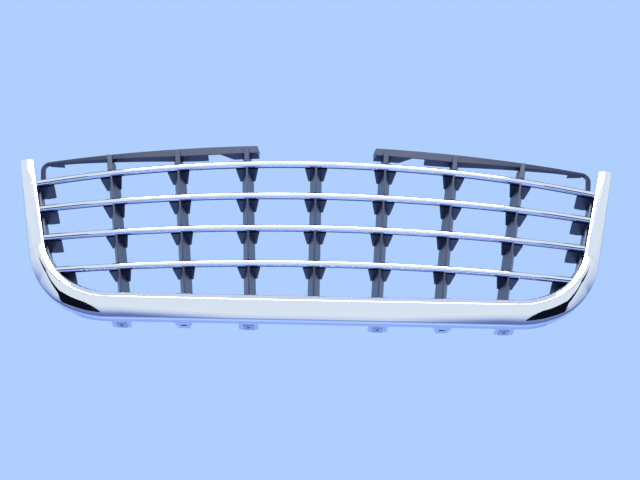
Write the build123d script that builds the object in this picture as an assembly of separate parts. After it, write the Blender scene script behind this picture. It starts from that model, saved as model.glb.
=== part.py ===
from build123d import *
import math
import os

# Front grille of a people carrier: a chromed U-shaped surround and four chromed bars, held by a
# moulded dark insert of louvres, fanned vanes, a frame and two upper rails. Tabs along the
# surround's lower edge carry spring clips and locating slots.
# Millimetres. X runs across the car, +Z is up, and the front of the grille faces -Y.
# Heights are measured from the surround's lowest point, and depths from its front face, along the
# radius of the sweep. The whole model is moved at the end, so that its origin is the middle of the
# line through the two inner clip threads.

# ---- driving dimensions ------------------------------------------------------------------------
sweep_radius = 1573.0       # plan radius of the front face, about an upright axis behind the grille

surround_width = 996.5      # across the tops of the arms
surround_height = 310.5     # lowest point to the tops of the arms
outer_lean = 0.205          # inward run of the outer edge for each unit of height
outer_bottom_radius = 4130.0
outer_corner_radius = 160.0
window_width = 949.5        # between the arms, at their tops
window_lean = 0.233
window_bottom_radius = 3630.0
window_corner_radius = 131.0
bottom_face_height = 44.3   # lowest point to the window's lower edge, on the centre plane
chrome_wall = 2.5
outer_return_depth = 15.0   # how far the outer edge turns back
lip_width = 10.0            # sloped lip round the window
lip_depth = 5.0
lip_return_depth = 14.0
cheek_depth = 36.0          # inner side of each arm, above the top bar
front_edge_radius = 2.0

bar_heights = (275.8, 218.7, 161.3, 99.9)       # middle of each bar on the centre plane, top to bottom
bar_end_rises = (-9.0, -0.6, 3.6, 5.5)          # how much higher a bar is at bar_ref_half_width
bar_ref_half_width = 460.0
bar_face = 10.0             # height of a chromed bar
bar_setback = 4.0           # bar's front face behind the surround's
bar_depth = 10.0
bar_wall = 1.8
bar_edge_radius = 1.5
bar_end_gap = 2.0           # between a bar's end and the surround's window
fit_gap = 0.2               # clearance wherever one piece seats in another

insert_wall = 2.5
insert_rear = 58.0          # depth of the insert's rear edge
insert_front = 15.5         # depth of the frames' front, on the surround's bosses
frame_edge = 6.0            # frame's edge inside the surround's outer edge
frame_inset = 1.5           # frame's inner wall inside the window's edge
frame_split_heights = (85.0, 130.0)     # where the corners, elbows and sides of the frame meet
frame_split_xs = (110.0, 330.0)         # where its bottom parts and corners meet

vane_count = 7
vane_pitch = 105.3          # between vanes, at vane_pitch_height
vane_pitch_height = 145.0
vane_fan = 0.0547           # extra pitch for each unit of height
vane_nose = 3.0
vane_rear = 19.0
vane_front = 5.0            # depth of a vane's nose
vane_wall = 2.4
vane_head_nose = 7.5        # the part of a vane above the top bar has a wider nose
vane_head_rear = 29.0

gusset_front = 36.0         # gusset's full width behind a bar
gusset_rear = 25.0
gusset_thickness = 2.5
end_gusset_front = 25.5     # gusset at a bar's end, out from the frame's wall
end_gusset_rear = 22.0

rail_top = 310.0
rail_top_drop = 5.0         # fall of the top edge from the inner end to the outer corner
rail_face_inner = 12.0      # height of the front strip at the centre gap
rail_face_knee = 13.3       # at its deepest
rail_face_outer = 3.0       # and at its outer corner
rail_inner_end = 97.0
rail_end_slant = 3.5        # how far the inner end's rear slants towards the centre
rail_knee_x = 215.0
rail_outer_gap = 12.4       # between the rail's outer corner and the window's edge
rail_leg_width = 8.0
rail_leg_lean = 0.1
rail_leg_rear = 50.0        # depth of the leg's flange at its foot
rail_front = 9.0
rail_rear = 31.0            # depth of the flange's rear edge, from the inner end
rail_rear_outer = 17.5      # and in its shallow outer part
rail_taper_xs = (185.0, 400.0)
rail_wall = 2.5
rail_bend_radius = 14.0
rail_notch_width = 20.0     # gap in the rail's lower flange
rail_notch_x = 157.0
rail_notch_taper = 30.0

tab_xs = (100.0, 300.0)     # clip tabs, each side of the centre
locator_x = 201.0
tab_width = 30.0
locator_root = 35.0         # width of a locating tab at its root
locator_tip = 18.0
tab_front = 10.0            # depth where a tab leaves the surround's lower return
tab_rear = 43.5
tab_thickness = 3.0
tab_rise = 1.2              # tab's underside above the surround's lower edge
tab_hole_radius = 3.25
hole_depth = 32.0           # middle of a tab's hole or slot
locator_slot_length = 10.0
locator_slot_radius = 3.0

clip_sheet = 0.8            # spring steel of the U-shaped nuts
clip_width = 16.0
clip_reach = 19.0
clip_barrel_radius = 4.6
clip_barrel_height = 4.0
clip_thread_radius = 2.5
clip_bend_radius = 2.0

boss_radius = 4.5
screw_radius = 1.75
screw_hole_radius = 2.2
screw_head_radius = 4.0
screw_head_height = 2.4
screw_grip = 6.0            # thread held in a boss
screw_seat = 0.02           # head's face off the frame, whose back is slightly hollow
bottom_screw_xs = (60.0, 250.0)
arm_screw_heights = (250.0, 175.0)
corner_screw = (407.0, 70.0)

# ---- sizes that follow -------------------------------------------------------------------------
louvre_front = bar_setback + bar_wall + fit_gap
louvre_face = bar_face - 2 * (bar_wall + fit_gap)
plate_rear = insert_front + insert_wall
wall_inset = frame_inset + insert_wall
wall_top = bar_heights[0] + bar_end_rises[0] + bar_face / 2
thread_length = clip_sheet + clip_barrel_height
reach = 200.0               # longer than the grille is deep, for shapes cut right through it
tall = 900.0
BACK = (Align.CENTER, Align.CENTER, Align.MIN)
FRONT = (Align.CENTER, Align.CENTER, Align.MAX)


def sweep_y(x, depth=0.0):
    """Y of the swept face at x, at a depth."""
    return sweep_radius - math.sqrt((sweep_radius - depth) ** 2 - x * x)


def lower_edge_z(x):
    """Height of the surround's lower edge at x."""
    return outer_bottom_radius - math.sqrt(outer_bottom_radius ** 2 - x * x)


def bar_z(index, x):
    """Height of a bar's middle at x."""
    return bar_heights[index] + bar_end_rises[index] * (x / bar_ref_half_width) ** 2


def vane_x(number, z):
    """Middle of a vane's nose at height z. Number 0 is the centre vane."""
    return number * (vane_pitch + vane_fan * (z - vane_pitch_height))


def tab_z(x):
    """Height of a tab's underside, just above the surround's lower edge."""
    return lower_edge_z(x) + tab_rise


def through(outline):
    """The outline, drawn as seen from the front, cut through the grille's whole depth."""
    return extrude(Plane.XZ.offset(5) * outline, amount=reach, dir=(0, 1, 0))


def layer(front, rear):
    """The swept slab between two depths."""
    slab = Cylinder(sweep_radius - front, tall) - Cylinder(sweep_radius - rear, tall)
    return Pos(0, sweep_radius, surround_height / 2) * slab


def box_between(x0, x1, y0, y1, z0, z1):
    """A box given by its limits."""
    return Pos((x0 + x1) / 2, (y0 + y1) / 2, (z0 + z1) / 2) * Box(x1 - x0, y1 - y0, z1 - z0)


def heights_between(low, high):
    """Everything between two heights."""
    return box_between(-tall, tall, -reach, 2 * reach, low, high)


def cup(width, lean, bottom, bottom_radius, corner_radius, inset, top):
    """Outline of straight leaning sides, a shallow curved bottom and round corners, inset all round."""
    half = width / 2 - inset * math.hypot(1, lean)
    low = bottom - 60
    half_top = half + lean * (top - surround_height)
    half_low = half + lean * (low - surround_height)
    sides = Polygon((-half_top, top), (-half_low, low), (half_low, low), (half_top, top), align=None)
    outline = sides & Pos(0, bottom + bottom_radius) * Circle(bottom_radius - inset)
    return fillet(outline.vertices().sort_by(Axis.Y)[:2], corner_radius - inset)


def outer(inset=0.0, top=surround_height):
    """The surround's outer outline."""
    return cup(surround_width, outer_lean, 0, outer_bottom_radius, outer_corner_radius, inset, top)


def window(inset=0.0, top=surround_height + 60):
    """The window's outline, open upwards. A negative inset goes out into the surround."""
    return cup(window_width, window_lean, bottom_face_height, window_bottom_radius,
               window_corner_radius, inset, top)


def window_half(z, inset=0.0):
    """Half the window's width at height z."""
    return (Line((0, z), (surround_width, z)) & window(inset)).length


def band(index, height, lift=0.0):
    """A shallow arc of constant height along a bar, seen from the front and wider than the window."""
    half = window_width / 2
    middle = bar_heights[index] + lift
    end = bar_z(index, half) + lift
    up = height / 2
    upper = ThreePointArc((-half, end + up), (0, middle + up), (half, end + up))
    lower = ThreePointArc((half, end - up), (0, middle - up), (-half, end - up))
    return make_face([upper, Line(upper @ 1, lower @ 0), lower, Line(lower @ 1, upper @ 0)])


def plan(*points):
    """A prism of all heights over an outline seen from above."""
    return extrude(Polygon(*points, align=None), amount=tall, both=True)


def square_to_face(x, z, depth):
    """A place at a depth, square to the swept face at x, with its own +Z pointing straight back."""
    turn = math.degrees(math.asin(x / sweep_radius))
    place = Pos(0, sweep_radius, 0) * Rot(0, 0, turn) * Pos(0, depth - sweep_radius, z)
    return place * Rot(-90, 0, 0)


def front_edges(solid, depth, outline, tolerance=0.5):
    """Edges of the solid that lie on the swept face at depth, along the given outline."""
    found = []
    borders = outline.edges()
    for edge in solid.edges():
        middle = edge @ 0.5
        off_face = math.hypot(middle.X, middle.Y - sweep_radius) - (sweep_radius - depth)
        mark = Vertex(middle.X, middle.Z, 0)
        if abs(off_face) < 0.05 and min(mark.distance_to(border) for border in borders) < tolerance:
            found.append(edge)
    return found


def screw_places():
    """X and height of each screw that holds the surround to the insert."""
    places = []
    for side in (-1, 1):
        for x in bottom_screw_xs:
            places.append((side * x, lower_edge_z(x) + bottom_face_height / 2))
        for z in arm_screw_heights:
            outer_x = surround_width / 2 + outer_lean * (z - surround_height)
            window_x = window_width / 2 + window_lean * (z - surround_height)
            places.append((side * (outer_x + window_x) / 2, z))
        places.append((side * corner_screw[0], corner_screw[1]))
    return places


# ---- chrome ------------------------------------------------------------------------------------
def chrome_surround():
    """The chromed U: a skin turned back at both edges and across the tops, with screw bosses."""
    skin = through(outer()) & layer(0, outer_return_depth)
    skin -= through(window())
    skin = chamfer(front_edges(skin, 0, window()), lip_width, lip_depth)
    rim = [edge for edge in front_edges(skin, 0, outer()) if (edge @ 0.5).Z < surround_height - 1]
    skin = fillet(rim, front_edge_radius)
    top = surround_height - chrome_wall
    face_hollow = through(outer(chrome_wall, top)) - through(window(-lip_width - chrome_wall))
    skin -= face_hollow & layer(chrome_wall, reach)
    lip_ring = through(window(-lip_width - chrome_wall, top)) - through(window(-chrome_wall))
    skin -= lip_ring & layer(lip_depth + chrome_wall, reach)
    skin -= (through(window(-chrome_wall)) - through(window())) & layer(lip_return_depth, reach)
    cheeks = (through(window(-chrome_wall)) - through(window())) & layer(lip_depth, cheek_depth)
    skin += cheeks & heights_between(wall_top, surround_height)
    boss_length = insert_front - chrome_wall / 2
    for x, z in screw_places():
        skin += square_to_face(x, z, chrome_wall / 2) * Cylinder(boss_radius, boss_length, align=BACK)
        skin -= square_to_face(x, z, insert_front) * Cylinder(screw_radius, screw_grip, align=FRONT)
    for side in (-1, 1):
        skin += locator_tab(side * locator_x)
        for x in tab_xs:
            skin += clip_tab(side * x)
    return skin


def chrome_bar(index):
    """A chromed C-section trim that snaps over the nose of a louvre."""
    outline = band(index, bar_face)
    bar = through(outline) & layer(bar_setback, bar_setback + bar_depth)
    long_edges = [edge for edge in front_edges(bar, bar_setback, outline) if edge.length > window_width / 2]
    bar = fillet(long_edges, bar_edge_radius)
    channel = through(band(index, bar_face - 2 * bar_wall))
    bar -= channel & layer(bar_setback + bar_wall, reach)
    return bar & through(window(bar_end_gap))


# ---- insert ------------------------------------------------------------------------------------
def louvre(index):
    """Dark strip behind a chromed bar, from inside the bar's channel to the frames' front."""
    strip = through(band(index, louvre_face)) & layer(louvre_front, insert_front)
    return strip & through(window(bar_end_gap))


def bars_room():
    """The space that the bars and louvres take, with clearance."""
    outlines = [through(band(index, bar_face + 2 * fit_gap)) for index in range(len(bar_heights))]
    return [outline & layer(0, insert_front) for outline in outlines]


def vane_section(nose, rear):
    """A vane cut level: a wedge with a narrow nose, hollow from behind."""
    spread = (vane_rear - vane_nose) / 2 / (insert_rear - vane_front)
    half_rear = nose / 2 + spread * (rear - vane_front)
    wedge = Polygon((-nose / 2, vane_front), (nose / 2, vane_front),
                    (half_rear, rear), (-half_rear, rear), align=None)
    half_tip = max(nose / 2 - vane_wall + spread * vane_wall, 0.1)
    tip = vane_front + (half_tip + vane_wall - nose / 2) / spread
    half_hollow = half_rear + spread - vane_wall
    return wedge - Polygon((-half_tip, tip), (half_tip, tip),
                           (half_hollow, rear + 1), (-half_hollow, rear + 1), align=None)


def vane_run(number, low, high, nose, rear):
    """A length of vane between two heights, leaning with the fan and lying along the sweep."""
    x_low, x_high = vane_x(number, low), vane_x(number, high)
    foot = Vector(x_low, sweep_y(x_low), low)
    head = Vector(x_high, sweep_y(x_high), high)
    section = Pos(*foot) * vane_section(nose, rear)
    return extrude(section, amount=(head - foot).length, dir=(head - foot).normalized())


def gusset_band(index):
    """A gusset seen from the front: a thin arc, flush with the bar's lower edge."""
    return through(band(index, gusset_thickness, (gusset_thickness - bar_face) / 2))


def gussets(number, index):
    """The wings that a vane spreads behind a bar, as one tapered plate."""
    x = vane_x(number, bar_heights[index])
    y = sweep_y(x)
    slope = (gusset_front - gusset_rear) / 2 / (insert_rear - insert_front)
    front = gusset_front / 2 + slope * insert_front
    rear = gusset_rear / 2 - slope * insert_wall * 4
    back = y + insert_rear + insert_wall * 4
    shape = plan((x - front, y), (x + front, y), (x + rear, back), (x - rear, back))
    return gusset_band(index) & shape & layer(insert_front, insert_rear)


def vane(number):
    """An upright vane with wings at each bar, notched in front for the bars and louvres."""
    neck = bar_heights[0]
    body = vane_run(number, bottom_face_height, neck, vane_nose, insert_rear)
    if number > 0:
        body += vane_run(number, neck, rail_top - rail_top_drop, vane_head_nose, vane_head_rear)
    for index in range(len(bar_heights)):
        body += gussets(number, index)
    for room in bars_room():
        body -= room
    body &= through(window(fit_gap))
    wall_zone = through(window(-1)) - through(window(wall_inset))
    body -= wall_zone & layer(insert_front, reach)
    if number > 0:
        body -= through(rail_outline(fit_gap)) & layer(rail_front - fit_gap, rail_rear + fit_gap)
    return body


def frame():
    """The insert's dark frame: a plate on the surround's bosses and a wall round the window."""
    plate = through(outer(frame_edge, surround_height - chrome_wall)) - through(window(wall_inset))
    plate &= layer(insert_front, plate_rear)
    plate -= through(window(-chrome_wall - fit_gap)) & heights_between(wall_top, tall)
    wall = through(window(frame_inset)) - through(window(wall_inset))
    wall &= layer(insert_front, insert_rear) & heights_between(0, wall_top)
    ring = plate + wall
    for x, z in screw_places():
        hole = Cylinder(screw_hole_radius, 3 * insert_wall)
        ring -= square_to_face(x, z, insert_front + insert_wall / 2) * hole
    return ring


def end_gusset(index):
    """A tapered plate at the right end of a bar, standing out from the frame's wall."""
    x = window_half(bar_heights[index] + bar_end_rises[index], wall_inset)
    y = sweep_y(x)
    root = x + gusset_front
    shape = plan((root, y), (x - end_gusset_front, y), (x - end_gusset_front, y + insert_front),
                 (x - end_gusset_rear, y + insert_rear), (root, y + insert_rear))
    plate = gusset_band(index) & shape & through(window(wall_inset))
    return plate & layer(insert_front, insert_rear)


def frame_parts():
    """The frame in short lengths: its centre, then the right half's pieces from the bottom up."""
    ring = frame()
    inner, outer_cut = frame_split_xs
    low, high = frame_split_heights
    right = ring & box_between(0, tall, -reach, 2 * reach, -reach, tall)
    below = right & heights_between(-reach, low)
    side = right & heights_between(high, tall)
    for index in range(len(bar_heights) - 1):
        side += end_gusset(index)
    centre = ring & box_between(-inner, inner, -reach, 2 * reach, -reach, low)
    halves = {"bottom": below & box_between(inner, outer_cut, -reach, 2 * reach, -reach, low),
              "corner": below & box_between(outer_cut, tall, -reach, 2 * reach, -reach, low),
              "elbow": (right & heights_between(low, high)) + end_gusset(len(bar_heights) - 1),
              "side": side}
    return centre, halves


# ---- upper rails -------------------------------------------------------------------------------
def rail_corner_x():
    """X of a rail's outer corner, before its bend."""
    return window_half(rail_top - rail_top_drop) - rail_outer_gap


def rail_top_z(x):
    """Height of the rail's top edge at x."""
    return rail_top - rail_top_drop * (x - rail_inner_end) / (rail_corner_x() - rail_inner_end)


def rail_shape(edge, bend_radius):
    """Everything below an edge that runs out to a round corner, down to the top bar."""
    foot = wall_top - bar_face / 4
    corner_x, corner_z = edge[-1]
    foot_x = corner_x - rail_leg_lean * (corner_z - foot)
    shape = Polygon(*edge, (foot_x, foot), (edge[0][0], foot), align=None)
    corner = shape.vertices().sort_by(lambda vertex: vertex.X + vertex.Y)[-1]
    return fillet(corner, bend_radius)


def rail_underside(grow=0.0):
    """The space under the right rail and inside its leg, from the front."""
    inner_x = rail_inner_end - 10
    corner_x = rail_corner_x() - rail_leg_width
    edge = [(inner_x, rail_top_z(inner_x) - rail_face_inner + grow),
            (rail_knee_x, rail_top_z(rail_knee_x) - rail_face_knee + grow),
            (corner_x + grow, rail_top_z(corner_x) - rail_face_outer + grow)]
    return rail_shape(edge, rail_bend_radius - rail_leg_width + grow)


def rail_outline(grow=0.0):
    """The right rail from the front: a tapering strip that bends down into a leg."""
    inner_x = rail_inner_end - rail_end_slant - grow
    corner_x = rail_corner_x()
    edge = [(inner_x, rail_top_z(inner_x) + grow), (corner_x + grow, rail_top_z(corner_x) + grow)]
    return rail_shape(edge, rail_bend_radius + grow) - rail_underside(-grow)


def rail_rear_at(x):
    """Depth of the flange's rear edge at x: full, then tapering to its shallow outer part."""
    full_x, shallow_x = rail_taper_xs
    share = (x - full_x) / (shallow_x - full_x)
    return rail_rear + (rail_rear_outer - rail_rear) * min(max(share, 0), 1)


def rail_depths():
    """The space the right rail takes from front to back: tapering outwards, deeper down the leg."""
    full_x, shallow_x = rail_taper_xs
    steps = [full_x + (shallow_x - full_x) * step / 8 for step in range(9)]
    taper = [(x, sweep_y(x, rail_rear_at(x))) for x in steps]
    inner = plan((0, -reach), (0, taper[0][1]), *taper, (shallow_x, -reach)) & layer(rail_front, rail_rear)
    leg_x = rail_corner_x() - rail_leg_width
    top = rail_top_z(leg_x) - rail_face_outer
    foot = wall_top - bar_face
    wedge = Polygon((sweep_y(leg_x), top), (sweep_y(leg_x, rail_rear_outer), top),
                    (sweep_y(leg_x, rail_leg_rear), foot), (sweep_y(leg_x), foot), align=None)
    leg = Plane.YZ.offset(leg_x - rail_leg_width) * wedge
    leg = extrude(leg, amount=3 * rail_leg_width)
    return inner + layer(rail_front, rail_rear_outer) + (leg & layer(rail_front, reach))


def rail_end(width):
    """A slab at the rail's inner end that slants towards the centre at its rear."""
    y = sweep_y(rail_inner_end)
    slope = rail_end_slant / (rail_rear - rail_front)
    near = rail_inner_end + slope * rail_front
    far = near - slope * reach
    return plan((near, y), (near + width, y), (far + width, y + reach), (far, y + reach))


def rail():
    """The right upper rail: a front strip and leg with a notched flange along their lower edge."""
    outline = through(rail_outline()) & rail_end(tall)
    strip = outline & layer(rail_front, rail_front + rail_wall)
    flange = outline & through(rail_underside(rail_wall)) & rail_depths()
    end_wall = outline & rail_end(rail_wall) & layer(rail_front, rail_rear)
    piece = strip + flange + end_wall
    x = rail_notch_x
    front = rail_front + rail_wall
    notch = plan((x - rail_notch_taper, sweep_y(x) + rail_rear + 5), (x, sweep_y(x) + front),
                 (x + rail_notch_width, sweep_y(x) + front),
                 (x + rail_notch_width, sweep_y(x) + rail_rear + 5))
    piece -= notch & layer(front, reach)
    return piece - through(band(0, bar_face))


# ---- lower tabs and their clips ----------------------------------------------------------------
def hole_y(x):
    """Y of the hole in a lower tab."""
    return sweep_y(x) + hole_depth


def tab_blank(x, root, tip):
    """A flat tab that stands back from the surround's lower return, and may taper."""
    z = tab_z(x)
    front = sweep_y(x)
    rear = front + tab_rear
    shape = plan((x - root / 2, front), (x + root / 2, front), (x + tip / 2, rear), (x - tip / 2, rear))
    return shape & heights_between(z, z + tab_thickness) & layer(tab_front, reach)


def clip_tab(x):
    """A lower tab with the screw's clearance hole."""
    hole = Cylinder(tab_hole_radius, 4 * tab_thickness)
    return tab_blank(x, tab_width, tab_width) - Pos(x, hole_y(x), tab_z(x)) * hole


def locator_tab(x):
    """A plain lower tab with a slot that takes a locating stud."""
    straight = locator_slot_length - 2 * locator_slot_radius
    slot = extrude(SlotCenterToCenter(straight, 2 * locator_slot_radius), 4 * tab_thickness, both=True)
    return tab_blank(x, locator_root, locator_tip) - Pos(x, hole_y(x), tab_z(x)) * slot


def spring_clip(x):
    """A U of spring steel pushed over a clip tab from behind, with a threaded barrel on top."""
    z = tab_z(x) + tab_thickness / 2
    rear = sweep_y(x) + tab_rear + fit_gap + clip_sheet
    inside = tab_thickness + 2 * fit_gap
    outside = inside + 2 * clip_sheet
    body = Pos(0, -clip_reach / 2) * Box(clip_width, clip_reach, outside)
    bend = body.edges().filter_by(Axis.X).group_by(Axis.Y)[-1]
    body = fillet(bend, clip_bend_radius)
    body -= Pos(0, -clip_reach / 2 - clip_sheet) * Box(clip_width, clip_reach, inside)
    place = Pos(0, hole_y(x) - rear, 0)
    body -= place * Cylinder(tab_hole_radius, inside, align=FRONT)
    top = Pos(0, 0, inside / 2)
    body += place * top * Cylinder(clip_barrel_radius, thread_length, align=BACK)
    body -= place * top * Cylinder(clip_thread_radius, 3 * thread_length)
    return Pos(x, rear, z) * body


def screw(x, z):
    """A pan-head screw driven from behind, through the frame into a boss."""
    shank = Cylinder(screw_radius, screw_grip + insert_wall + screw_seat, align=FRONT)
    head = Cylinder(screw_head_radius, screw_head_height, align=BACK)
    head = fillet(head.edges().group_by(Axis.Z)[-1], screw_head_height / 3)
    recess = Pos(0, 0, screw_head_height) * Box(screw_head_radius, 0.9, screw_head_height)
    recess += Rot(0, 0, 90) * recess
    return square_to_face(x, z, plate_rear + screw_seat) * (shank + head - recess)


# ---- the assembly ------------------------------------------------------------------------------
def build():
    """Every piece by name, in the grille's own heights and depths."""
    nodes = {"chrome_surround": chrome_surround()}
    for index in range(len(bar_heights)):
        nodes[f"chrome_bar_{index + 1}"] = chrome_bar(index)
        nodes[f"louvre_{index + 1}"] = louvre(index)
    middle = (vane_count + 1) // 2
    for number in range(middle):
        right = vane(number)
        nodes[f"vane_{middle + number}"] = right
        if number > 0:
            nodes[f"vane_{middle - number}"] = mirror(right, Plane.YZ)
    nodes["frame_bottom_centre"], halves = frame_parts()
    for name, piece in halves.items():
        nodes[f"frame_{name}_right"] = piece
        nodes[f"frame_{name}_left"] = mirror(piece, Plane.YZ)
    nodes["rail_right"] = rail()
    nodes["rail_left"] = mirror(nodes["rail_right"], Plane.YZ)
    for number, x in enumerate(sorted([-x for x in tab_xs] + list(tab_xs)), 1):
        nodes[f"spring_clip_{number}"] = spring_clip(x)
    nodes["surround_screws"] = Compound([screw(x, z).solid() for x, z in screw_places()])
    return nodes


def main():
    """Move the pieces so that the origin is at the inner clip threads, and write them."""
    x = tab_xs[0]
    thread_z = tab_z(x) + tab_thickness + fit_gap + thread_length / 2
    datum = Pos(0, -hole_y(x), -thread_z)
    os.makedirs("parts", exist_ok=True)
    for name, piece in build().items():
        export_step(datum * piece, f"parts/{name}.step")
    x_outer = tab_xs[1]
    rises = [lower_edge_z(value) - lower_edge_z(x) for value in (x_outer, locator_x)]
    print("outer clip threads", hole_y(x_outer) - hole_y(x), rises[0])
    slot_z = tab_z(locator_x) + tab_thickness / 2 - thread_z
    print("locator slots", hole_y(locator_x) - hole_y(x), slot_z)


if __name__ == "__main__":
    main()
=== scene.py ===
import math
import bmesh
import bpy
from mathutils import Matrix, Vector


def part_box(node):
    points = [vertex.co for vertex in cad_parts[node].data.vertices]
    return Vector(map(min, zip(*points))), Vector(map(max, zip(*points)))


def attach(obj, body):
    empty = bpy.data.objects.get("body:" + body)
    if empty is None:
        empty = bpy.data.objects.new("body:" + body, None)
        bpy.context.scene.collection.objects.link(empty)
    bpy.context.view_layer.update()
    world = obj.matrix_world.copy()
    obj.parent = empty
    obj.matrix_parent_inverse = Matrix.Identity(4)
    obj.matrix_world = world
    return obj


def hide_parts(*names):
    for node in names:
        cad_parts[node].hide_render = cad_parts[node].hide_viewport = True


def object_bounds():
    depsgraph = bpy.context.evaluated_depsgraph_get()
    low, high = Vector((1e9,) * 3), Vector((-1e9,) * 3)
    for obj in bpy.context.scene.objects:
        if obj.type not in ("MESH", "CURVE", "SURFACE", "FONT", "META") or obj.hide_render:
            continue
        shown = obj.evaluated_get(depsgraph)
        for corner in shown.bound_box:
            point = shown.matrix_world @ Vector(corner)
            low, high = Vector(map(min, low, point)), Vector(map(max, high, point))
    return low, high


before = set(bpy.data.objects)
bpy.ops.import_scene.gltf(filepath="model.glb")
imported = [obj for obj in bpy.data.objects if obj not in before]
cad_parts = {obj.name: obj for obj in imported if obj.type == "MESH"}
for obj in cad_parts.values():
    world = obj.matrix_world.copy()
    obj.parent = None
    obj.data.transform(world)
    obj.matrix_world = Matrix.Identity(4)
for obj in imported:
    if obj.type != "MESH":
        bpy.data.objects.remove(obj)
cad_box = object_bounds()

# Chromed surround. An injection-moulded ABS shell, open behind, plated with copper, nickel and
# bright chrome. It screws to the insert from behind. Its crowned face falls away to the outer edge,
# more so round the corners, and a flat sloped lip runs round the window.
MM = 0.001
FACE_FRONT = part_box("chrome_surround")[0].y
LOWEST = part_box("chrome_surround")[0].z
SWEEP_RADIUS = 1573 * MM
ARM_TOP = 310.45 * MM
BAR_ONE_TOP = 271.8 * MM
SHELL_WALL = 2.4 * MM
LIP = 10 * MM
LIP_FALL = 4.3 * MM
CROWN = 3.2 * MM
CORNER_FALL = 4.2 * MM
OUTER_RETURN = 15 * MM
WINDOW_RETURN = 14 * MM
ARM_CHEEK = 36 * MM
OUTER_EDGE = {"half": 498.25 * MM, "lean": 0.205, "bottom": 0.0, "bottom_radius": 4130 * MM,
              "corner_radius": 160 * MM}
WINDOW_EDGE = {"half": 474.75 * MM, "lean": 0.233, "bottom": 44.3 * MM, "bottom_radius": 3630 * MM,
               "corner_radius": 131 * MM}


def sweep_y(x, depth):
    """Y of the point at x that lies at a depth behind the swept face."""
    return FACE_FRONT + SWEEP_RADIUS - math.sqrt((SWEEP_RADIUS - depth) ** 2 - x * x)


def swept(x, height, depth):
    """The place of a point given from the front, its height taken from the surround's lowest point."""
    return Vector((x, sweep_y(x, depth), LOWEST + height))


def cup_edge(edge, arm_steps, corner_steps, bottom_steps):
    """Points of a U-shaped edge: the right arm, its corner, the shallow bottom, then the left side."""
    slant = math.hypot(1, edge["lean"])
    radius, low_radius = edge["corner_radius"], edge["bottom_radius"]
    centre_z = edge["bottom"] + low_radius
    base = edge["half"] - edge["lean"] * ARM_TOP - radius * slant
    square = 1 + edge["lean"] ** 2
    middle = base * edge["lean"] - centre_z
    rest = base ** 2 + centre_z ** 2 - (low_radius - radius) ** 2
    corner_z = (-middle - math.sqrt(middle ** 2 - square * rest)) / square
    corner = Vector((base + edge["lean"] * corner_z, corner_z))
    start = corner + radius * Vector((1, -edge["lean"])) / slant
    outward = (corner - Vector((0, centre_z))).normalized()
    top = Vector((edge["half"], ARM_TOP))
    points = [top.lerp(start, step / arm_steps) for step in range(arm_steps)]
    first = math.atan2(-edge["lean"], 1)
    last = math.atan2(outward.y, outward.x)
    for step in range(corner_steps):
        angle = first + (last - first) * step / corner_steps
        points.append(corner + radius * Vector((math.cos(angle), math.sin(angle))))
    for step in range(bottom_steps + 1):
        angle = last + (-math.pi / 2 - last) * step / bottom_steps
        points.append(Vector((0, centre_z)) + low_radius * Vector((math.cos(angle), math.sin(angle))))
    left = [Vector((-point.x, point.y)) for point in reversed(points[:-1])]
    return points + left


def mesh_object(name, vertices, faces):
    """A mesh object in the scene's collection, made from vertices and faces."""
    mesh = bpy.data.meshes.new(name)
    mesh.from_pydata([tuple(vertex) for vertex in vertices], [], faces)
    mesh.validate()
    made = bpy.data.objects.new(name, mesh)
    bpy.context.collection.objects.link(made)
    return made


def finish_mesh(piece, sharp_angle=35):
    """Consistent outward normals, smooth shading and sharp edges over an angle."""
    work = bmesh.new()
    work.from_mesh(piece.data)
    bmesh.ops.recalc_face_normals(work, faces=work.faces)
    work.to_mesh(piece.data)
    work.free()
    piece.data.shade_smooth()
    piece.data.set_sharp_from_angle(angle=math.radians(sharp_angle))


def surround_section(width, cheek):
    """The shell's cut: (distance in from the outer edge, depth), outer side first, then inner side."""
    crease = width - LIP
    points = [(0, OUTER_RETURN), (0, 9 * MM), (0, 5.2 * MM)]
    for turn in (15, 35, 55, 75):
        angle = math.radians(turn)
        points.append((2.2 * MM * (1 - math.cos(angle)), 5.2 * MM - 3.1 * MM * math.sin(angle)))
    for share in (0.12, 0.2, 0.32, 0.46, 0.6, 0.72, 0.84, 0.93, 0.97):
        points.append((share * crease, CROWN * (share - 0.62) ** 2 * 2.2))
    for share in (0.03, 0.12, 0.5, 0.86):
        points.append((crease + share * LIP, 0.45 * MM + LIP_FALL * share))
    points += [(width - 0.5 * MM, 4.9 * MM), (width, 5.8 * MM), (width, 9 * MM), (width, cheek)]
    back = [(width - SHELL_WALL, cheek), (width - SHELL_WALL, 9 * MM), (crease, 3.4 * MM),
            (0.5 * crease, 2.8 * MM), (3.2 * MM, 5 * MM), (SHELL_WALL, 8 * MM),
            (SHELL_WALL, OUTER_RETURN)]
    return points + back


outer_points = cup_edge(OUTER_EDGE, 30, 44, 60)
window_points = cup_edge(WINDOW_EDGE, 30, 44, 60)
rings = []
for outer_point, window_point in zip(outer_points, window_points):
    inward = (window_point - outer_point).normalized()
    width = (window_point - outer_point).length
    cheek = ARM_CHEEK if window_point.y > BAR_ONE_TOP else WINDOW_RETURN
    ring = []
    slope = math.degrees(math.atan2(inward.y, abs(inward.x)))
    begins, ends = min(max((slope - 28) / 14, 0), 1), min(max((72 - slope) / 14, 0), 1)
    for reach, depth in surround_section(width, cheek):
        place = outer_point + inward * reach
        if depth < WINDOW_RETURN and reach < width - LIP:
            depth += CORNER_FALL * begins * ends * (1 - reach / (width - LIP))
        ring.append(swept(place.x, place.y, depth))
    rings.append(ring)
size = len(rings[0])
vertices = [place for ring in rings for place in ring]
faces = []
for row in range(len(rings) - 1):
    for column in range(size):
        following = (column + 1) % size
        faces.append((row * size + column, row * size + following,
                      (row + 1) * size + following, (row + 1) * size + column))
faces.append(tuple(range(size)))
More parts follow.
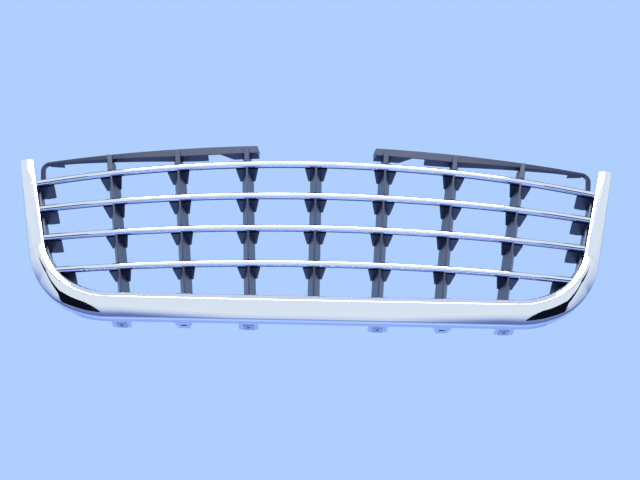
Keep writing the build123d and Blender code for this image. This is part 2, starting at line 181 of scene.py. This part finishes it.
faces.append(tuple(range((len(rings) - 1) * size, len(rings) * size)))
surround = mesh_object("chrome_surround_shell", vertices, faces)
finish_mesh(surround, 40)


def top_closure(side):
    """The wall that closes the top of an arm inside the shell."""
    end = 0 if side > 0 else -1
    outer_end, window_end = outer_points[end], window_points[end]
    down = Vector((-side * OUTER_EDGE["lean"], -1)).normalized() * SHELL_WALL
    inward = (window_end - outer_end).normalized()
    width = (window_end - outer_end).length
    crease = width - LIP
    outline = [(2.3 * MM, OUTER_RETURN), (2.3 * MM, 8 * MM), (3.1 * MM, 4.9 * MM),
               (0.5 * crease, 2.7 * MM), (crease, 3.3 * MM), (width - 2.3 * MM, 8.9 * MM),
               (width - 2.3 * MM, OUTER_RETURN)]
    places = []
    for shift in (Vector((0, 0)), down):
        for reach, depth in outline:
            place = outer_end + inward * reach + shift
            places.append(swept(place.x, place.y, depth))
    count = len(outline)
    walls = [(i, (i + 1) % count, count + (i + 1) % count, count + i) for i in range(count)]
    ends = [tuple(range(count)), tuple(range(2 * count - 1, count - 1, -1))]
    return mesh_object("chrome_arm_top", places, walls + ends)


TAB_FRONT = 10.5 * MM
TAB_REAR = 43.5 * MM
TAB_EDGE_RADIUS = 0.4 * MM
TAB_HALF_THICKNESS = 1.45 * MM
TAB_MIDDLE_RISE = 2.7 * MM
TAB_CORNER = 3 * MM
TAB_HOLE_RADIUS = 3.25 * MM
TAB_HOLE_DEPTH = 32 * MM
TAB_STYLES = [(100 * MM, 30 * MM, 30 * MM, 0), (201 * MM, 35 * MM, 18 * MM, 2 * MM),
              (300 * MM, 30 * MM, 30 * MM, 0)]


def lower_tab(x, root, tip, slot_half_length):
    """A flat chromed tab with a round hole or a slot, standing back from the lower return."""
    curve = bpy.data.curves.new("tab_outline", "CURVE")
    curve.dimensions = "2D"
    curve.fill_mode = "BOTH"
    curve.extrude = TAB_HALF_THICKNESS - TAB_EDGE_RADIUS
    curve.bevel_depth = TAB_EDGE_RADIUS
    curve.bevel_resolution = 2
    curve.offset = -TAB_EDGE_RADIUS
    outline = [(-root / 2, TAB_FRONT), (root / 2, TAB_FRONT), (tip / 2 + 0.3 * MM, TAB_REAR - TAB_CORNER)]
    for turn in (30, 60, 90):
        angle = math.radians(turn)
        outline.append((tip / 2 - TAB_CORNER + TAB_CORNER * math.cos(angle),
                        TAB_REAR - TAB_CORNER + TAB_CORNER * math.sin(angle)))
    outline += [(-across, back) for across, back in reversed(outline[2:])]
    hole = []
    for step in range(32):
        angle = -2 * math.pi * step / 32
        across = TAB_HOLE_RADIUS * math.cos(angle)
        across += math.copysign(slot_half_length, across) if abs(across) > 1e-9 else 0
        hole.append((across, TAB_HOLE_DEPTH + TAB_HOLE_RADIUS * math.sin(angle)))
    for points in (outline, hole):
        spline = curve.splines.new("POLY")
        spline.points.add(len(points) - 1)
        spline.use_cyclic_u = True
        for point, (across, back) in zip(spline.points, points):
            point.co = (across, back, 0, 1)
    drawn = bpy.data.objects.new("tab_outline", curve)
    bpy.context.collection.objects.link(drawn)
    graph = bpy.context.evaluated_depsgraph_get()
    mesh = bpy.data.meshes.new_from_object(drawn.evaluated_get(graph))
    bpy.data.objects.remove(drawn)
    low_radius = OUTER_EDGE["bottom_radius"]
    edge_height = low_radius - math.sqrt(low_radius ** 2 - x * x)
    mesh.transform(Matrix.Translation(swept(x, edge_height + TAB_MIDDLE_RISE, 0)))
    tab = bpy.data.objects.new("chrome_lower_tab", mesh)
    bpy.context.collection.objects.link(tab)
    finish_mesh(tab, 30)
    return tab


BOSS_SIDES = 28
BOSS_PROFILE = [(4.5, 15.0), (4.1, 15.4), (1.75, 15.4), (1.75, 9.5)]
BOSS_PLACES = [(60, 22.6, 2.7), (250, 29.7, 2.7), (407, 70, 4.7), (456.8, 175, 2.7), (473.2, 250, 2.7)]


def screw_boss(x, height, start):
    """A tube that stands back from inside the shell, square to the swept face, for a screw."""
    rings = []
    for radius, depth in [(4.5, start)] + BOSS_PROFILE:
        ring = []
        for step in range(BOSS_SIDES):
            angle = 2 * math.pi * step / BOSS_SIDES
            ring.append((radius * MM * math.cos(angle), depth * MM, radius * MM * math.sin(angle)))
        rings.append(ring)
    turn = Matrix.Rotation(math.asin(x / SWEEP_RADIUS), 4, "Z")
    place = Matrix.Translation((0, FACE_FRONT + SWEEP_RADIUS, LOWEST + height)) @ turn
    place = place @ Matrix.Translation((0, -SWEEP_RADIUS, 0))
    places = [place @ Vector(point) for ring in rings for point in ring]
    walls = [(row + step, row + (step + 1) % BOSS_SIDES, row + BOSS_SIDES + (step + 1) % BOSS_SIDES,
              row + BOSS_SIDES + step)
             for row in range(0, (len(rings) - 1) * BOSS_SIDES, BOSS_SIDES) for step in range(BOSS_SIDES)]
    ends = [tuple(range(BOSS_SIDES)), tuple(range(len(places) - BOSS_SIDES, len(places)))]
    boss = mesh_object("chrome_screw_boss", places, walls + ends)
    finish_mesh(boss, 30)
    return boss


chromed = [surround, top_closure(1), top_closure(-1)]
for side in (-1, 1):
    for x, height, start in BOSS_PLACES:
        chromed.append(screw_boss(side * x * MM, height * MM, start))
for side in (-1, 1):
    for x, root, tip, slot_half_length in TAB_STYLES:
        chromed.append(lower_tab(side * x, root, tip, slot_half_length))


def linear(hex_colour):
    """An sRGB hex colour as the linear colour that shaders take."""
    channels = [int(hex_colour[place:place + 2], 16) / 255 for place in (1, 3, 5)]
    return [c / 12.92 if c <= 0.04045 else ((c + 0.055) / 1.055) ** 2.4 for c in channels] + [1.0]


def add_node(tree, kind, inputs=None, **settings):
    """Adds a node. An input given as a socket is linked, and any other value is set."""
    made = tree.nodes.new(kind)
    for name, value in settings.items():
        setattr(made, name, value)
    for name, value in (inputs or {}).items():
        if isinstance(value, bpy.types.NodeSocket):
            tree.links.new(value, made.inputs[name])
        else:
            made.inputs[name].default_value = value
    return made


def new_material(name):
    """An empty node material, its tree, its Principled shader and its object coordinates."""
    material = bpy.data.materials.new(name)
    material.use_nodes = True
    tree = material.node_tree
    shader = tree.nodes["Principled BSDF"]
    where = add_node(tree, "ShaderNodeTexCoord").outputs["Object"]
    return material, tree, shader, where


# Bright chrome plate on ABS: a mirror with the faint long waves of a moulded wall under the plating,
# and a thin haze of handling marks that softens some reflections.
chrome, tree, shader, where = new_material("bright_chrome_plate")
shader.inputs["Metallic"].default_value = 1.0
shader.inputs["Base Color"].default_value = linear("#E9ECF1")
haze = add_node(tree, "ShaderNodeTexNoise", {"Vector": where, "Scale": 1 / (60 * MM), "Detail": 4.0})
rough = add_node(tree, "ShaderNodeMapRange", {"Value": haze.outputs["Fac"], "From Min": 0.4,
                                              "From Max": 0.75, "To Min": 0.025, "To Max": 0.07})
tree.links.new(rough.outputs["Result"], shader.inputs["Roughness"])
waves = add_node(tree, "ShaderNodeTexNoise", {"Vector": where, "Scale": 1 / (45 * MM), "Detail": 1.0})
relief = add_node(tree, "ShaderNodeBump", {"Height": waves.outputs["Fac"], "Strength": 0.05,
                                           "Distance": 0.6 * MM})
tree.links.new(relief.outputs["Normal"], shader.inputs["Normal"])

for piece in chromed:
    piece.data.materials.clear()
    piece.data.materials.append(chrome)
    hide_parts("chrome_surround")
    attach(piece, "root")

# Chromed bars. Four thin plated trims of C section, one moulding each, that snap over the noses of
# the insert's louvres. The face has a small facet along its top and a rounded lower edge, and the
# lower side is cut short, so that the dark louvre shows beneath it.
BAR_HEIGHTS = [275.8 * MM, 218.7 * MM, 161.3 * MM, 99.9 * MM]
BAR_END_RISES = [-9 * MM, -0.6 * MM, 3.6 * MM, 5.5 * MM]
BAR_REF = 460 * MM
BAR_STEPS = 160
BAR_SECTION = [(5.0, 14.0), (5.0, 9.0), (5.0, 7.0), (4.75, 6.3), (4.3, 5.8), (3.0, 4.7), (2.4, 4.35),
               (1.6, 4.15), (0.2, 4.0), (-1.6, 4.0), (-3.2, 4.1), (-4.1, 4.45), (-4.7, 5.1),
               (-5.0, 6.1), (-5.0, 7.2), (-5.0, 8.4), (-3.4, 8.4), (-3.4, 7.0), (-2.4, 5.9),
               (2.4, 5.9), (3.4, 7.0), (3.4, 14.0)]
for number, (middle, rise) in enumerate(zip(BAR_HEIGHTS, BAR_END_RISES), 1):
    low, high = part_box(f"chrome_bar_{number}")
    rings = []
    for step in range(BAR_STEPS + 1):
        x = low.x + (high.x - low.x) * step / BAR_STEPS
        height = middle + rise * (x / BAR_REF) ** 2
        rings.append([swept(x, height + up * MM, depth * MM) for up, depth in BAR_SECTION])
    size = len(BAR_SECTION)
    faces = []
    for row in range(BAR_STEPS):
        for column in range(size):
            following = (column + 1) % size
            faces.append((row * size + column, row * size + following,
                          (row + 1) * size + following, (row + 1) * size + column))
    faces.append(tuple(range(size)))
    faces.append(tuple(range(BAR_STEPS * size, (BAR_STEPS + 1) * size)))
    bar = mesh_object(f"chrome_bar_trim_{number}", [place for ring in rings for place in ring], faces)
    finish_mesh(bar, 50)
    bar.data.materials.append(chrome)
    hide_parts(f"chrome_bar_{number}")
    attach(bar, "root")

# Dark insert. Louvres, vanes, frame and rails in charcoal ABS and polycarbonate, moulded with
# a fine spark-eroded grain, which reads as a satin blue-grey black. The mould leaves a small radius on
# every edge. The grain is drawn at 0.9 mm, coarser than the real 0.1 mm, so that it shows.
plastic, tree, shader, where = new_material("charcoal_moulded_abs")
shader.inputs["IOR"].default_value = 1.54
cloud = add_node(tree, "ShaderNodeTexNoise", {"Vector": where, "Scale": 1 / (70 * MM), "Detail": 3.0})
tone = add_node(tree, "ShaderNodeValToRGB", {"Fac": cloud.outputs["Fac"]})
tone.color_ramp.elements[0].position = 0.3
tone.color_ramp.elements[0].color = linear("#11162A")
tone.color_ramp.elements[1].position = 0.75
tone.color_ramp.elements[1].color = linear("#1A2140")
tree.links.new(tone.outputs["Color"], shader.inputs["Base Color"])
grain = add_node(tree, "ShaderNodeTexNoise", {"Vector": where, "Scale": 1 / (0.9 * MM), "Detail": 2.0})
sheen = add_node(tree, "ShaderNodeMapRange", {"Value": grain.outputs["Fac"], "To Min": 0.3,
                                              "To Max": 0.42})
tree.links.new(sheen.outputs["Result"], shader.inputs["Roughness"])
relief = add_node(tree, "ShaderNodeBump", {"Height": grain.outputs["Fac"], "Strength": 0.25,
                                           "Distance": 0.08 * MM})
tree.links.new(relief.outputs["Normal"], shader.inputs["Normal"])


def dress(node, material, radius):
    """A CAD piece takes its material and a small moulded or sheared radius on its edges."""
    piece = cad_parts[node]
    for place in piece.material_slots:
        place.material = material
    edge = piece.modifiers.new("edge radius", "BEVEL")
    edge.width = radius
    edge.segments = 2
    edge.limit_method = "ANGLE"
    edge.angle_limit = math.radians(40)
    edge.harden_normals = False
    edge.use_clamp_overlap = True


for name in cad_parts:
    if name.startswith(("louvre", "vane", "frame", "rail")):
        dress(name, plastic, 0.35 * MM)

# Spring clips and screws. The clips are stamped from spring steel and zinc plated, and the screws
# are cold-headed steel with the same plating.
steel, tree, shader, where = new_material("bright_zinc_spring_steel")
shader.inputs["Metallic"].default_value = 1.0
spangle = add_node(tree, "ShaderNodeTexVoronoi", {"Vector": where, "Scale": 1 / (2.5 * MM)})
tone = add_node(tree, "ShaderNodeValToRGB", {"Fac": spangle.outputs["Color"]})
tone.color_ramp.elements[0].color = linear("#B4B9C0")
tone.color_ramp.elements[1].color = linear("#DDE2E8")
tree.links.new(tone.outputs["Color"], shader.inputs["Base Color"])
rough = add_node(tree, "ShaderNodeMapRange", {"Value": spangle.outputs["Distance"], "To Min": 0.18,
                                              "To Max": 0.38})
tree.links.new(rough.outputs["Result"], shader.inputs["Roughness"])
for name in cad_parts:
    if name.startswith(("spring_clip", "surround_screws")):
        dress(name, steel, 0.12 * MM)

# Studio. A plain pale floor well below the grille, and plain pale blue air behind it. Only reflections
# meet the rest: a bright panel in front, a darker band at the horizon and a dark flag at each side,
# which the chrome needs in order to read as chrome.
floor = mesh_object("studio_floor", [(-9, -9, -1.35), (9, -9, -1.35), (9, 9, -1.35), (-9, 9, -1.35)],
                    [(0, 1, 2, 3)])
paper, tree, shader, where = new_material("pale_studio_paper")
shader.inputs["Base Color"].default_value = linear("#AFC1F0")
shader.inputs["Roughness"].default_value = 0.8
floor.data.materials.append(paper)

world = bpy.data.worlds.new("studio")
bpy.context.scene.world = world
world.use_nodes = True
tree = world.node_tree
toward = add_node(tree, "ShaderNodeSeparateXYZ",
                  {"Vector": add_node(tree, "ShaderNodeTexCoord").outputs["Generated"]})
sideways = add_node(tree, "ShaderNodeMath", {0: toward.outputs["X"]}, operation="ABSOLUTE")
lift = add_node(tree, "ShaderNodeMapRange", {"Value": sideways.outputs["Value"], "From Min": 0.2,
                                             "From Max": 0.5, "To Min": 0.2, "To Max": 0.0})
lifted = add_node(tree, "ShaderNodeMath", {0: toward.outputs["Z"], 1: lift.outputs["Result"]})
upward = add_node(tree, "ShaderNodeMapRange", {"Value": lifted.outputs["Value"], "From Min": -1.0})
panel = add_node(tree, "ShaderNodeValToRGB", {"Fac": upward.outputs["Result"]})
stops = [(0.0, "#B9CBEE"), (0.4, "#8FA2D6"), (0.48, "#46588F"), (0.54, "#7186C0"), (0.6, "#CDDDF9"),
         (0.66, "#EDF6FF"), (0.9, "#E9F2FF"), (1.0, "#D4E0FA")]
while len(panel.color_ramp.elements) < len(stops):
    panel.color_ramp.elements.new(0.5)
for element, (position, colour) in zip(panel.color_ramp.elements, stops):
    element.position = position
    element.color = linear(colour)
flag_width = add_node(tree, "ShaderNodeMath", {0: sideways.outputs["Value"], 1: 0.67, 2: 0.1},
                      operation="COMPARE")
flag_height = add_node(tree, "ShaderNodeMath", {0: toward.outputs["Z"], 1: 0.225, 2: 0.12},
                       operation="COMPARE")
flag = add_node(tree, "ShaderNodeMath", {0: flag_width.outputs["Value"],
                                         1: flag_height.outputs["Value"]}, operation="MULTIPLY")
flagged = add_node(tree, "ShaderNodeMix", {"Factor": flag.outputs["Value"], 6: panel.outputs["Color"],
                                           7: linear("#0E1220")}, data_type="RGBA")
behind = add_node(tree, "ShaderNodeMapRange", {"Value": toward.outputs["Y"], "From Min": 0.05,
                                               "From Max": 0.2})
room = add_node(tree, "ShaderNodeMix", {"Factor": behind.outputs["Result"], 6: flagged.outputs[2],
                                        7: linear("#AFCFFF")}, data_type="RGBA")
path = add_node(tree, "ShaderNodeLightPath")
seen = add_node(tree, "ShaderNodeMix", {"Factor": path.outputs["Is Camera Ray"], 6: room.outputs[2],
                                        7: linear("#AFCFFF")}, data_type="RGBA")
tree.links.new(seen.outputs[2], tree.nodes["Background"].inputs["Color"])
tree.nodes["Background"].inputs["Strength"].default_value = 1.0


def soft_box(name, place, target, width, height, power, colour):
    """A rectangular area light aimed at a point."""
    light = bpy.data.lights.new(name, "AREA")
    light.shape = "RECTANGLE"
    light.size, light.size_y = width, height
    light.energy = power
    light.color = linear(colour)[:3]
    made = bpy.data.objects.new(name, light)
    made.location = place
    made.rotation_euler = (Vector(target) - Vector(place)).to_track_quat("-Z", "Y").to_euler()
    bpy.context.collection.objects.link(made)


centre = (cad_box[0] + cad_box[1]) / 2
soft_box("key_box", (0, -1.3, 1.9), centre, 2.6, 0.9, 120, "#DCE8FF")

CAMERA_BACK = 1.8917
CAMERA_DROP = 0.7448
camera = bpy.data.objects.new("camera", bpy.data.cameras.new("camera"))
bpy.context.collection.objects.link(camera)
camera.data.sensor_width = 36
camera.data.lens = 74.8
camera.location = (0, FACE_FRONT - CAMERA_BACK, LOWEST - CAMERA_DROP)
elevation, turn, roll = math.radians(25), math.radians(0.25), math.radians(1.07)
forward = Vector((math.sin(turn) * math.cos(elevation), math.cos(turn) * math.cos(elevation),
                  math.sin(elevation)))
camera.rotation_mode = "QUATERNION"
level = forward.to_track_quat("-Z", "Y")
camera.rotation_quaternion = Matrix.Rotation(-roll, 3, forward).to_quaternion() @ level
bpy.context.scene.camera = camera
bpy.context.scene.view_settings.view_transform = "Standard"
